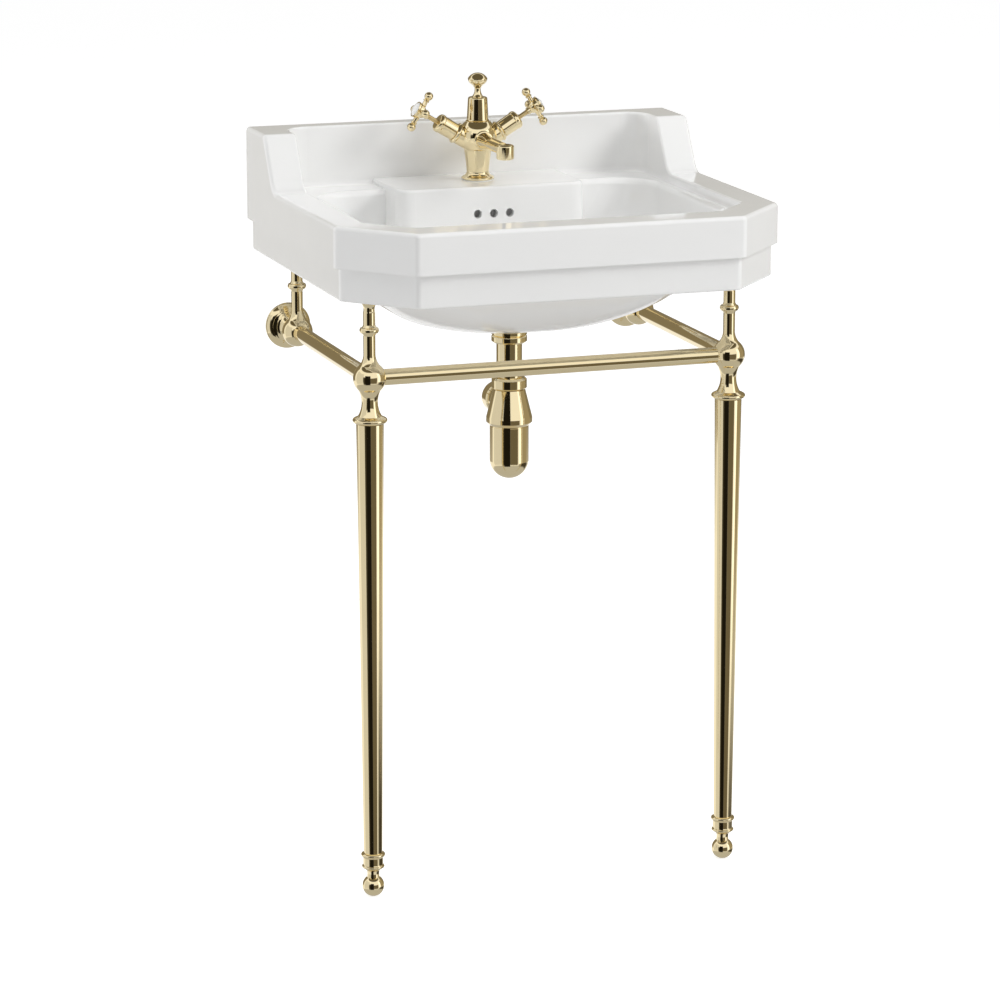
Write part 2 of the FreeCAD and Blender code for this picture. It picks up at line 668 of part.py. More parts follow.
def waste_body():
    """Threaded waste with its flange in the drain seat and overflow slots in its tail."""
    length = FLANGE_TOP - TAIL_END
    outline = [
        (WASTE_BORE_RADIUS, 0), (WASTE_TAIL_RADIUS, 0), (WASTE_TAIL_RADIUS, length - WASTE_FLANGE_THICKNESS),
        (WASTE_FLANGE_RADIUS, length - WASTE_FLANGE_THICKNESS), (WASTE_FLANGE_RADIUS, length - 1),
        (WASTE_FLANGE_RADIUS - 1, length), (WASTE_BORE_RADIUS + 1, length), (WASTE_BORE_RADIUS, length - 1),
    ]
    body = turned(outline, point(0, WASTE_Y, TAIL_END))
    slot_base = BOSS_BOTTOM + BAND_ROUNDING + DUCT_SKIN
    half = OVERFLOW_SLOT_WIDTH / 2
    for k in range(OVERFLOW_SLOTS):
        slot = box((0, -half, 0), (DRAIN_RADIUS, half, OVERFLOW_SLOT_HEIGHT))
        slot.rotate(point(0, 0, 0), UP, 360 / OVERFLOW_SLOTS * k + 90)
        slot.translate(point(0, WASTE_Y, slot_base))
        body = body.cut(slot)
    return body.fuse(cartridge_spider())


def cartridge_spider():
    """Cross bars inside the waste with the socket that holds the click cartridge."""
    height = CARTRIDGE_ARM_WIDTH
    base = TAIL_END
    bars = []
    reach = WASTE_BORE_RADIUS + 1
    for along_x in (True, False):
        x = reach if along_x else CARTRIDGE_ARM_WIDTH / 2
        y = CARTRIDGE_ARM_WIDTH / 2 if along_x else reach
        bars.append(box((-x, WASTE_Y - y, base), (x, WASTE_Y + y, base + height)))
    return bars[0].fuse(bars[1])


def waste_seals():
    """Seal under the flange, seal over the back nut and washer in the union nut."""
    thickness = SEAL_THICKNESS
    tail = WASTE_TAIL_RADIUS
    flange_seal = ring(WASTE_FLANGE_RADIUS - 1, DRAIN_RADIUS, thickness, point(0, WASTE_Y, DRAIN_SEAT))
    under_seal = ring(WASTE_NUT_RADIUS, tail + FIT, thickness, point(0, WASTE_Y, BACK_NUT_TOP))
    washer = ring(tail, WASTE_BORE_RADIUS, thickness, point(0, WASTE_Y, TAIL_END - thickness))
    return {"waste_flange_seal": flange_seal, "waste_under_seal": under_seal, "waste_union_washer": washer}


def round_nut(radius, bore, height, chamfer, base, axis=UP):
    """Round polished nut: a bored disc with chamfered outer edges."""
    return turned([
        (bore, 0), (radius - chamfer, 0), (radius, chamfer), (radius, height - chamfer),
        (radius - chamfer, height), (bore, height),
    ], base, axis)


def waste_back_nut():
    start = point(0, WASTE_Y, BACK_NUT_BOTTOM)
    return round_nut(WASTE_NUT_RADIUS, WASTE_TAIL_RADIUS + FIT, BACK_NUT_THICKNESS, 1.0, start)


def waste_union_nut():
    """Round nut that pulls the tail pipe's flange up against the waste."""
    start = point(0, WASTE_Y, UNION_BOTTOM)
    nut = round_nut(WASTE_NUT_RADIUS, PIPE_RADIUS + FIT, UNION_NUT_HEIGHT, 2.0, start)
    lip_top = TAIL_END - SEAL_THICKNESS - PIPE_WALL
    return nut.cut(cylinder(WASTE_TAIL_RADIUS + FIT, UNION_NUT_HEIGHT, point(0, WASTE_Y, lip_top)))


def plug_pieces():
    """Domed cap, stem and seal of the push plug, and the click cartridge that holds them."""
    edge_base = FLANGE_TOP + GAP
    groove = edge_base - PLUG_HUB_HEIGHT
    hub_radius = WASTE_BORE_RADIUS - PLUG_HUB_INSET
    cap = turned([
        (STEM_RADIUS + FIT, groove), (hub_radius, groove), (hub_radius, edge_base),
        (PLUG_RADIUS - 1, edge_base), (PLUG_RADIUS, edge_base + 1), (PLUG_RADIUS, edge_base + PLUG_EDGE),
        dome(PLUG_RADIUS, edge_base + PLUG_EDGE, PLUG_DOME), (0, edge_base), (STEM_RADIUS + FIT, edge_base),
    ], point(0, WASTE_Y, 0))
    seal_radius = WASTE_BORE_RADIUS - 4 * GAP
    seal = ring(seal_radius, hub_radius, PLUG_HUB_HEIGHT - GAP, point(0, WASTE_Y, groove))
    case_base = TAIL_END + CARTRIDGE_ARM_WIDTH
    stem_low = case_base + PLUG_LIFT
    stem = cylinder(STEM_RADIUS, edge_base - stem_low, point(0, WASTE_Y, stem_low))
    case_height = groove - GAP - case_base
    case = cylinder(CARTRIDGE_RADIUS, case_height, point(0, WASTE_Y, case_base))
    case = case.cut(cylinder(STEM_RADIUS + FIT, case_height, point(0, WASTE_Y, stem_low - GAP)))
    return {"plug_cap": cap, "plug_seal": seal, "plug_stem": stem, "plug_cartridge": case}


# ---- trap ----

def tail_pipe():
    """Pipe between the waste and the trap, flanged at its top."""
    top = TAIL_END - SEAL_THICKNESS
    bore = PIPE_RADIUS - PIPE_WALL
    pipe = ring(PIPE_RADIUS, bore, top - DIP_TUBE_TOP, point(0, WASTE_Y, DIP_TUBE_TOP))
    flange = ring(WASTE_TAIL_RADIUS - GAP, bore, PIPE_WALL, point(0, WASTE_Y, top - PIPE_WALL))
    return pipe.fuse(flange)


def trap_inlet_nut():
    base = point(0, WASTE_Y, TRAP_BODY_TOP + FIT)
    nut = round_nut(TRAP_NUT_RADIUS, PIPE_RADIUS + FIT, TRAP_NUT_HEIGHT, 2.5, base)
    thread = cylinder(TRAP_NECK_RADIUS - 2 + FIT, TRAP_NUT_HEIGHT * 0.7, point(0, WASTE_Y, TRAP_BODY_TOP))
    return nut.cut(thread)


def trap_inlet_seal():
    height = 3.0
    base = TRAP_BODY_TOP + TRAP_NUT_HEIGHT * 0.7 - height
    return ring(TRAP_NECK_RADIUS - 2, PIPE_RADIUS + FIT, height, point(0, WASTE_Y, base))


def trap_body():
    """Bell-shaped upper trap with a threaded neck, a skirt and the outlet spigot at the back."""
    throat = PIPE_RADIUS + FIT
    neck = TRAP_NECK_RADIUS - 2
    neck_top = TRAP_BODY_TOP + TRAP_NUT_HEIGHT * 0.7 - 3.0
    inner = TRAP_CUP_RADIUS - TRAP_WALL + FIT
    outline = [
        (throat, neck_top), (neck, neck_top), (neck, TRAP_BODY_TOP), (TRAP_NECK_RADIUS, TRAP_BODY_TOP),
        (TRAP_SKIRT_RADIUS - 0.6, TRAP_SKIRT_TOP), (TRAP_SKIRT_RADIUS, TRAP_SKIRT_TOP - TRAP_WALL),
        (TRAP_SKIRT_RADIUS, TRAP_BODY_BOTTOM + 4), (TRAP_SKIRT_RADIUS - 1, TRAP_BODY_BOTTOM + 3),
        (TRAP_CUP_RADIUS + 0.5, TRAP_BODY_BOTTOM), (inner, TRAP_BODY_BOTTOM),
        (inner, TRAP_THREAD_TOP + SEAL_THICKNESS), (throat, TRAP_LEDGE),
    ]
    body = turned(outline, point(0, WASTE_Y, 0))
    spigot_y = WASTE_Y + TRAP_NECK_RADIUS * 0.6
    spigot_length = OUTLET_SEAL_Y - spigot_y
    spigot = cylinder(OUTLET_THREAD_RADIUS, spigot_length, point(0, spigot_y, OUTLET_HEIGHT), TO_WALL)
    inside = turned([
        (0, TRAP_BODY_BOTTOM - 1), (inner, TRAP_BODY_BOTTOM - 1),
        (inner, TRAP_THREAD_TOP + SEAL_THICKNESS), (throat, TRAP_LEDGE), (throat, neck_top + 1),
        (0, neck_top + 1),
    ], point(0, WASTE_Y, 0))
    socket_y = OUTLET_END_Y - OUTLET_SOCKET_DEPTH
    socket = cylinder(OUTLET_BORE_RADIUS, OUTLET_SOCKET_DEPTH, point(0, socket_y, OUTLET_HEIGHT), TO_WALL)
    waterway_start = point(0, WASTE_Y, OUTLET_HEIGHT)
    waterway = cylinder(OUTLET_WATERWAY_RADIUS, OUTLET_REACH, waterway_start, TO_WALL)
    ledge_base = point(0, WASTE_Y, TRAP_LEDGE - TRAP_LEDGE_THICKNESS)
    ledge = ring(throat + 1, DIP_TUBE_RADIUS + FIT, TRAP_LEDGE_THICKNESS, ledge_base)
    body = body.fuse(spigot)
    for cutter in (inside, socket, waterway):
        body = body.cut(cutter)
    return body.fuse(ledge).removeSplitter()


def trap_dip_tube():
    """Plastic tube that leads the water down into the cup, hung by its rim in the throat."""
    bore = DIP_TUBE_RADIUS - DIP_TUBE_WALL
    tube = ring(DIP_TUBE_RADIUS, bore, TRAP_LEDGE - DIP_TUBE_END, point(0, WASTE_Y, DIP_TUBE_END))
    return tube.fuse(ring(PIPE_RADIUS, bore, DIP_TUBE_RIM, point(0, WASTE_Y, TRAP_LEDGE)))


def trap_cup():
    """Round-bottomed cup that unscrews for cleaning; its thread goes up inside the trap."""
    outer = TRAP_CUP_RADIUS
    inner = outer - TRAP_WALL
    top = TRAP_THREAD_TOP
    rim = TRAP_BODY_BOTTOM - FIT
    round_z = TRAP_CUP_BOTTOM + outer - TRAP_CUP_FLATTENING
    bore = inner - TRAP_WALL
    floor_arc = dome(inner, round_z, TRAP_CUP_BOTTOM + TRAP_WALL - round_z)
    return turned([
        (bore, top), (inner, top), (inner, rim), (outer - 0.7, rim), (outer - 0.7, rim - 1.4),
        (outer, rim - 1.4), (outer, round_z), dome(outer, round_z, TRAP_CUP_BOTTOM - round_z),
        (0, TRAP_CUP_BOTTOM + TRAP_WALL),
        floor_arc[:2] + (inner, round_z), (inner, rim - 3 * TRAP_WALL), (bore, rim - TRAP_WALL),
    ], point(0, WASTE_Y, 0))


def trap_cup_seal():
    outer = TRAP_CUP_RADIUS - TRAP_WALL
    inner = outer - TRAP_WALL - 1
    return ring(outer, inner, SEAL_THICKNESS - FIT, point(0, WASTE_Y, TRAP_THREAD_TOP))


def trap_outlet():
    """Outlet nut with the seal that grips the waste pipe."""
    start = point(0, OUTLET_END_Y - OUTLET_NUT_LENGTH, OUTLET_HEIGHT)
    nut = round_nut(OUTLET_NUT_RADIUS, OUTLET_BORE_RADIUS, OUTLET_NUT_LENGTH, 2.5, start, TO_WALL)
    thread_length = OUTLET_NUT_LENGTH - OUTLET_SEAL_LENGTH
    nut = nut.cut(cylinder(OUTLET_THREAD_RADIUS + FIT, thread_length, start, TO_WALL))
    seal_start = point(0, OUTLET_SEAL_Y + FIT / 2, OUTLET_HEIGHT)
    seal = ring(OUTLET_THREAD_RADIUS, OUTLET_BORE_RADIUS, OUTLET_SEAL_LENGTH - FIT, seal_start, TO_WALL)
    return {"trap_outlet_nut": nut, "trap_outlet_seal": seal}


# ---- tap ----

def valve_axis(side):
    tilt = math.radians(VALVE_TILT)
    return point(side * math.cos(tilt), 0, math.sin(tilt))


def valve_point(side, distance):
    """Point on a slanted valve axis, at a distance from the tap's own axis."""
    return point(0, TAP_Y, TAP_BASE + VALVE_ORIGIN_HEIGHT) + valve_axis(side) * distance


def tap_body():
    """Cast body: base flange, waisted stem, round bulb, spout and the two valve arms."""
    flange = TAP_FLANGE_RADIUS
    flange_top = TAP_FLANGE_THICKNESS
    waist = TAP_WAIST_HEIGHT
    bulb = TAP_BULB_RADIUS
    bulb_foot = TAP_BULB_HEIGHT - on_ball(bulb, TAP_STEM_RADIUS)
    bulb_head = TAP_BULB_HEIGHT + on_ball(bulb, TAP_CROWN_RADIUS)
    stem = [
        (0, 0), (flange - 1, 0), (flange, 1), (flange, flange_top - 2),
        (flange - 1, flange_top - 0.6, flange - 3, flange_top),
        (TAP_WAIST_RADIUS + 1, waist * 0.6, TAP_WAIST_RADIUS, waist),
        (TAP_STEM_RADIUS - 2, (waist + bulb_foot) / 2, TAP_STEM_RADIUS, bulb_foot),
        (bulb, TAP_BULB_HEIGHT, TAP_CROWN_RADIUS, bulb_head),
        (TAP_CROWN_RADIUS, TAP_CROWN_HEIGHT), (0, TAP_CROWN_HEIGHT),
    ]
    body = turned(stem, point(0, TAP_Y, TAP_BASE))
    parts = [body, spout_arm()]
    for side in SIDES.values():
        parts.append(valve_arm(side))
    body = fused(parts)
    body = body.cut(cylinder(NOZZLE_RADIUS, NOZZLE_HEIGHT, point(0, NOZZLE_Y, NOZZLE_BOTTOM)))
    spigot_y = NOZZLE_Y + NOZZLE_RADIUS - NOZZLE_WALL
    body = body.fuse(cylinder(NOZZLE_SPIGOT_RADIUS, NOZZLE_RADIUS, point(0, spigot_y, SPOUT_Z), TO_WALL))
    chamber_top = SPOUT_HEIGHT + TAP_CHAMBER_RADIUS
    column_socket = COLUMN_SPIGOT + GAP
    cutters = [
        cylinder(TAP_CHAMBER_RADIUS, chamber_top - SHANK_SPIGOT, point(0, TAP_Y, TAP_BASE + SHANK_SPIGOT)),
        cylinder(SHANK_SPIGOT_RADIUS + FIT, SHANK_SPIGOT, point(0, TAP_Y, TAP_BASE)),
        cylinder(SPOUT_BORE_RADIUS, SPOUT_REACH, point(0, TAP_Y, SPOUT_Z), TO_FRONT),
        cylinder(COLUMN_SPIGOT_RADIUS + FIT, column_socket, point(0, TAP_Y, CROWN_TOP - column_socket)),
    ]
    for side in SIDES.values():
        axis = valve_axis(side)
        seat = valve_point(side, CARTRIDGE_BODY_START)
        cutters.append(cylinder(CARTRIDGE_BODY_RADIUS + FIT, VALVE_ARM_END, seat, axis))
        cutters.append(cylinder(VALVE_PORT_RADIUS, CARTRIDGE_BODY_START, valve_point(side, 0), axis))
    for cutter in cutters:
        body = body.cut(cutter)
    return body


def spout_arm():
    """Straight tapered spout from a ring on the bulb to the nozzle."""
    length = SPOUT_REACH - NOZZLE_RADIUS + NOZZLE_WALL
    rim = SPOUT_RING_RADIUS
    ring_end = TAP_BULB_RADIUS + 1
    return turned([
        (0, 0), (rim - 0.8, 0), (rim - 0.8, ring_end - 3.4), (rim, ring_end - 1.7, rim - 0.8, ring_end),
        (SPOUT_ROOT_RADIUS, ring_end + 0.4),
        (SPOUT_TIP_RADIUS + 0.6, ring_end + 12, SPOUT_TIP_RADIUS, ring_end + 30),
        (SPOUT_TIP_RADIUS, length), (0, length),
    ], point(0, TAP_Y, SPOUT_Z), TO_FRONT)


def valve_arm(side):
    """Short slanted arm of the body that a valve screws into, with a bead at its end."""
    end = VALVE_ARM_END
    bead = VALVE_ARM_RING_RADIUS - 0.5
    return turned([
        (0, 0), (VALVE_ARM_RADIUS, 0), (VALVE_ARM_RADIUS, end - 5), (bead, end - 4.2),
        (bead + 1, end - 2.5, bead, end - 0.8), (VALVE_ARM_RADIUS, end), (0, end),
    ], valve_point(side, 0), valve_axis(side))


def spout_nozzle():
    """Upright round nozzle at the end of the spout."""
    bore = NOZZLE_RADIUS - NOZZLE_WALL
    soft = NOZZLE_ROUNDING
    shell = turned([
        (bore, 0), (NOZZLE_RADIUS - soft / 2, 0), (NOZZLE_RADIUS, soft / 2),
        (NOZZLE_RADIUS, NOZZLE_HEIGHT - soft),
        (NOZZLE_RADIUS - soft * 0.29, NOZZLE_HEIGHT - soft * 0.29, NOZZLE_RADIUS - soft, NOZZLE_HEIGHT),
        (0, NOZZLE_HEIGHT), (0, NOZZLE_HEIGHT - NOZZLE_WALL), (bore, NOZZLE_HEIGHT - NOZZLE_WALL),
    ], point(0, NOZZLE_Y, NOZZLE_BOTTOM))
    socket_start = point(0, NOZZLE_Y, SPOUT_Z)
    return shell.cut(cylinder(NOZZLE_SPIGOT_RADIUS + FIT, 2 * NOZZLE_RADIUS, socket_start, TO_WALL))


def spout_straightener():
    """Disc with a circle of water passages inside the nozzle."""
    radius = NOZZLE_RADIUS - NOZZLE_WALL - FIT
    circle = 0.6 * radius
    base = point(0, NOZZLE_Y, NOZZLE_BOTTOM + STRAIGHTENER_INSET)
    insert = cylinder(radius, STRAIGHTENER_HEIGHT, base)
    for turn in range(STRAIGHTENER_HOLES):
        angle = 2 * math.pi * turn / STRAIGHTENER_HOLES
        hole = base + point(circle * math.cos(angle), circle * math.sin(angle), 0)
        insert = insert.cut(cylinder(STRAIGHTENER_HOLE_RADIUS, STRAIGHTENER_HEIGHT, hole))
    return insert


def tap_column():
    """Tall centre column, hollow, with a spigot into the body and a threaded hole for the finial."""
    base = COLUMN_BASE_RADIUS
    top = COLUMN_TOP_RADIUS
    bore = COLUMN_SPIGOT_RADIUS - COLUMN_WALL
    screw = FINIAL_NECK_RADIUS + FIT
    soft = COLUMN_ROUNDING
    return turned([
        (bore, -COLUMN_SPIGOT), (COLUMN_SPIGOT_RADIUS, -COLUMN_SPIGOT), (COLUMN_SPIGOT_RADIUS, 0), (base, 0),
        (base + 0.6, 0.8), (base, 1.8), (top, COLUMN_HEIGHT - soft),
        (top - soft * 0.29, COLUMN_HEIGHT - soft * 0.29, top - soft, COLUMN_HEIGHT), (screw, COLUMN_HEIGHT),
        (screw, COLUMN_HEIGHT - COLUMN_WALL), (bore, COLUMN_HEIGHT - COLUMN_WALL),
    ], point(0, TAP_Y, CROWN_TOP))


def tap_finial():
    """Turned knob on the column, with a stud below it."""
    knob = FINIAL_KNOB_RADIUS
    neck = FINIAL_NECK_RADIUS
    knob_base = FINIAL_NECK_HEIGHT + 4
    knob_middle = FINIAL_HEIGHT - FINIAL_CROWN
    return turned([
        (0, -COLUMN_SPIGOT), (neck, -COLUMN_SPIGOT), (neck, 0),
        (FINIAL_BASE_RADIUS, 0), (FINIAL_BASE_RADIUS, 1),
        (neck + 0.6, FINIAL_NECK_HEIGHT * 0.45, neck, FINIAL_NECK_HEIGHT), (knob * 0.55, knob_base),
        (knob * 0.88, (knob_base + knob_middle) / 2 - 0.8, knob, knob_middle),
        dome(knob, knob_middle, FINIAL_CROWN),
    ], point(0, TAP_Y, COLUMN_TOP))


def valve_cover(side):
    """Polished cover over a valve, with a lip near its outer end."""
    length = VALVE_COVER_LENGTH
    radius = VALVE_COVER_RADIUS
    inner = CARTRIDGE_BODY_RADIUS + FIT
    end_wall = length - VALVE_COVER_WALL
    return turned([
        (inner, FIT), (radius - 0.8, FIT), (radius, 1), (radius + 0.3, length * 0.72),
        (VALVE_COVER_LIP_RADIUS, length * 0.76), (VALVE_COVER_LIP_RADIUS, length - 5),
        (VALVE_COVER_LIP_RADIUS - 1.2, length - 1.4, VALVE_COVER_LIP_RADIUS - 5, length - 0.4),
        (SPINDLE_RADIUS + 2.4, length), (SPINDLE_RADIUS + FIT, length), (SPINDLE_RADIUS + FIT, end_wall),
        (inner, end_wall),
    ], valve_point(side, VALVE_ARM_END), valve_axis(side))


def valve_cartridge(side):
    """Quarter-turn valve cartridge in the arm and its cover."""
    start = valve_point(side, CARTRIDGE_BODY_START + GAP)
    body = cylinder(CARTRIDGE_BODY_RADIUS, CARTRIDGE_BODY_LENGTH, start, valve_axis(side))
    bore_start = valve_point(side, CARTRIDGE_BODY_START + CARTRIDGE_BODY_LENGTH / 2)
    return body.cut(cylinder(SPINDLE_RADIUS + FIT, CARTRIDGE_BODY_LENGTH, bore_start, valve_axis(side)))


def valve_spindle(side):
    """Spindle from the cartridge out into the handle's hub."""
    start = CARTRIDGE_BODY_START + CARTRIDGE_BODY_LENGTH / 2 + GAP
    length = HUB_DISTANCE - start
    return cylinder(SPINDLE_RADIUS, length, valve_point(side, start), valve_axis(side))


def cross_handle(side):
    """Hub with four turned, ball-ended arms; two of them lie in the plane of both valves."""
    half = HUB_HEIGHT / 2
    neck_end = -half - HUB_NECK_LENGTH
    neck = SPINDLE_RADIUS + 1.6
    hub = turned([
        (0, neck_end), (neck, neck_end), (neck, -half - 1),
        (HUB_RADIUS - 3.4, -half + 0.8, HUB_RADIUS - 1.8, -half + 4),
        (HUB_RADIUS, -1), (HUB_RADIUS, half - 3),
        (INDEX_RADIUS + 1.2, half - 1.5), (INDEX_RADIUS + 1.2, half + 0.5), (INDEX_RADIUS + FIT, half + 0.5),
        (INDEX_RADIUS + FIT, half - 2), (0, half - 2),
    ], point(0, 0, 0))
    pieces = [hub]
    for k in range(HANDLE_ARMS):
        arm = handle_arm()
        arm.rotate(point(0, 0, 0), UP, 360 / HANDLE_ARMS * k)
        pieces.append(arm)
    handle = fused(pieces)
    handle = handle.cut(cylinder(SPINDLE_RADIUS + FIT / 2, -neck_end, point(0, 0, neck_end)))
    turn = FreeCAD.Rotation(UP, valve_axis(side))
    handle.Placement = FreeCAD.Placement(valve_point(side, HUB_DISTANCE), turn)
    return handle


def handle_arm():
    """One turned arm of a cross handle, along +X."""
    ball = HANDLE_BALL_RADIUS
    thin = HANDLE_ARM_RADIUS
    throat = HANDLE_REACH - ball
    return turned([
        (0, HUB_RADIUS / 2), (thin + 1.2, HUB_RADIUS / 2), (thin + 0.2, HUB_RADIUS + 2.5, thin, throat - 2.2),
        (thin + 1.3, throat - 1.6), (thin + 1.3, throat - 0.4), (thin, HANDLE_REACH - on_ball(ball, thin)),
        (ball, HANDLE_REACH, 0, HANDLE_REACH + ball),
    ], point(0, 0, 0), point(1, 0, 0))


def handle_index(side):
    """White domed button in the hub."""
    base = valve_point(side, HUB_DISTANCE + HUB_HEIGHT / 2 - 2)
    return turned([
        (0, 0), (INDEX_RADIUS, 0), (INDEX_RADIUS, INDEX_HEIGHT), dome(INDEX_RADIUS, INDEX_HEIGHT, INDEX_DOME),
    ], base, valve_axis(side))


def tap_fixing():
    """Gasket, threaded shank with its two inlets, washers and back nut."""
    bore = SHANK_RADIUS + FIT
    gasket = ring(TAP_FLANGE_RADIUS - GASKET_INSET, bore, GASKET_THICKNESS, point(0, TAP_Y, SHELF_TOP))
    shank = cylinder(SHANK_RADIUS, SHANK_LENGTH - SHANK_SPIGOT, point(0, TAP_Y, SHANK_BOTTOM))
    shank = shank.fuse(cylinder(SHANK_SPIGOT_RADIUS, SHANK_SPIGOT - FIT, point(0, TAP_Y, TAP_BASE)))
    for x in (-INLET_SPACING / 2, INLET_SPACING / 2):
        shank = shank.cut(cylinder(INLET_RADIUS, INLET_DEPTH, point(x, TAP_Y, SHANK_BOTTOM)))
        shank = shank.cut(cylinder(INLET_RADIUS / 2, SHANK_LENGTH, point(x, TAP_Y, SHANK_BOTTOM)))
    rubber_z = SHELF_UNDERSIDE - RUBBER_WASHER_THICKNESS
    metal_z = rubber_z - METAL_WASHER_THICKNESS
    rubber = ring(WASHER_RADIUS, bore, RUBBER_WASHER_THICKNESS, point(0, TAP_Y, rubber_z))
    metal = ring(WASHER_RADIUS, bore, METAL_WASHER_THICKNESS, point(0, TAP_Y, metal_z))
    corner = TAP_NUT_FLATS / math.sqrt(3)
    hexagon = []
    for k in range(6):
        angle = math.radians(60 * k)
        hexagon.append((corner * math.cos(angle), TAP_Y + corner * math.sin(angle)))
    nut = prism(hexagon, [0] * 6, metal_z - TAP_NUT_HEIGHT, metal_z)
    nut = nut.cut(cylinder(bore, TAP_NUT_HEIGHT, point(0, TAP_Y, metal_z - TAP_NUT_HEIGHT)))
    return {
        "tap_base_gasket": gasket, "tap_shank": shank, "tap_rubber_washer": rubber,
        "tap_metal_washer": metal, "tap_back_nut": nut,
    }


# ---- stand ----

def upright(x, y):
    """Slim turned upright with a ring, from a joint up to the basin's pad."""
    head_top = APRON_BOTTOM - PAD_THICKNESS - RAIL_HEIGHT
    neck = head_top - UPRIGHT_HEAD_THICKNESS
    radius = UPRIGHT_RADIUS
    half = UPRIGHT_RING_THICKNESS / 2
    ring_z = UPRIGHT_RING_HEIGHT
    base = UPRIGHT_FLARE_HEIGHT
    outline = [
        (0, base - UPRIGHT_TENON_LENGTH), (UPRIGHT_TENON_RADIUS, base - UPRIGHT_TENON_LENGTH),
        (UPRIGHT_TENON_RADIUS, base), (radius, base),
        (radius, ring_z - half - 3), (radius + 1.4, ring_z - half),
        (UPRIGHT_RING_RADIUS - 0.9, ring_z - half + 0.6),
        (UPRIGHT_RING_RADIUS, ring_z, UPRIGHT_RING_RADIUS - 0.9, ring_z + half - 0.6),
        (radius + 1.4, ring_z + half), (radius, ring_z + half + 3),
        (radius, neck - 14), (radius + 1.4, neck - 4, UPRIGHT_HEAD_RADIUS - 1, neck),
        (UPRIGHT_HEAD_RADIUS, neck + 1), (UPRIGHT_HEAD_RADIUS, head_top), (0, head_top),
    ]
    return turned(outline, point(x, y, RAIL_HEIGHT))


def ball_and_flare(ball_radius):
    """Outline shared by the joints, from the ball's lower half up to the foot of the upright."""
    tenon = UPRIGHT_TENON_RADIUS + FIT
    flare = UPRIGHT_FLARE_HEIGHT
    shoulder = ball_radius * BALL_SHOULDER_SHARE
    shoulder_z = on_ball(ball_radius, shoulder)
    socket_low = flare - UPRIGHT_TENON_LENGTH - GAP
    return [
        (ball_radius, 0, shoulder, shoulder_z),
        (UPRIGHT_RADIUS + 1.4, (shoulder_z + flare) / 2, UPRIGHT_RADIUS, flare),
        (tenon, flare), (tenon, socket_low), (0, socket_low),
    ]


def rail_sockets(joint, x, y, directions):
    """Cuts the sockets that the rails slide into."""
    for direction in directions:
        start = point(x, y, RAIL_HEIGHT) + direction * (RAIL_START - GAP)
        joint = joint.cut(cylinder(RAIL_RADIUS + FIT, FRONT_BALL_RADIUS, start, direction))
    return joint


def front_joint(side):
    """Turned corner joint over a leg: collar, waisted neck and ball, with sockets for two rails."""
    ball = FRONT_BALL_RADIUS
    collar_low = -COLLAR_DROP - COLLAR_THICKNESS / 2
    collar_high = collar_low + COLLAR_THICKNESS
    spigot = LEG_TOP_RADIUS - LEG_WALL - FIT
    ball_neck = ball * BALL_NECK_SHARE
    outline = [
        (0, collar_low - SPIGOT_LENGTH), (spigot - 0.5, collar_low - SPIGOT_LENGTH),
        (spigot - 0.5, collar_low),
        (LEG_TOP_RADIUS - 0.4, collar_low), (COLLAR_RADIUS - 1.5, collar_low + 1.5),
        (COLLAR_RADIUS, -COLLAR_DROP + 0.4, COLLAR_RADIUS - 1.5, collar_high - 1.2),
        (COLLAR_RADIUS - 6.5, collar_high + 1.2), (NECK_RADIUS + NECK_FLARE, collar_high + 3),
        (NECK_RADIUS, -NECK_DROP, ball_neck, -on_ball(ball, ball_neck)),
    ] + ball_and_flare(ball)
    x = side * STAND_HALF_WIDTH
    joint = turned(outline, point(x, FRONT_Y, RAIL_HEIGHT))
    return rail_sockets(joint, x, FRONT_Y, [point(-side, 0, 0), TO_WALL])


def rear_joint(side):
    """Ball joint behind, with a neck to the wall plate and a socket for the side rail."""
    ball = REAR_BALL_RADIUS
    outline = [(0, -ball)] + ball_and_flare(ball)
    x = side * STAND_HALF_WIDTH
    joint = turned(outline, point(x, REAR_Y, RAIL_HEIGHT))
    neck_length = REAR_JOINT_FROM_WALL - PLATE_THICKNESS
    neck = turned([
        (0, 4), (RAIL_RADIUS + 3, 4), (RAIL_RADIUS + 2.6, ball - 2),
        (RAIL_RADIUS, ball + 2), (RAIL_RADIUS, neck_length), (0, neck_length),
    ], point(x, REAR_Y, RAIL_HEIGHT), TO_WALL)
    joint = joint.fuse(neck).removeSplitter()
    spigot_start = WALL_Y - PLATE_THICKNESS - PLATE_SPIGOT_LENGTH - GAP
    socket = cylinder(
        PLATE_SPIGOT_RADIUS + FIT, PLATE_SPIGOT_LENGTH + 1, point(x, spigot_start, RAIL_HEIGHT), TO_WALL)
    return rail_sockets(joint.cut(socket), x, REAR_Y, [TO_FRONT])


def wall_plate(side):
    """Hidden plate screwed to the wall, with the spigot that carries the rear joint."""
    x = side * STAND_HALF_WIDTH
    plate = cylinder(PLATE_RADIUS, PLATE_THICKNESS, point(x, WALL_Y - PLATE_THICKNESS, RAIL_HEIGHT), TO_WALL)
    spigot_start = point(x, WALL_Y - PLATE_THICKNESS - PLATE_SPIGOT_LENGTH, RAIL_HEIGHT)
    plate = plate.fuse(cylinder(PLATE_SPIGOT_RADIUS, PLATE_SPIGOT_LENGTH, spigot_start, TO_WALL))
    for offset in (-PLATE_HOLE_SPACING / 2, PLATE_HOLE_SPACING / 2):
        hole = point(x + offset, WALL_Y - PLATE_THICKNESS - 1, RAIL_HEIGHT)
        plate = plate.cut(cylinder(PLATE_HOLE_RADIUS, PLATE_THICKNESS + 2, hole, TO_WALL))
    return plate


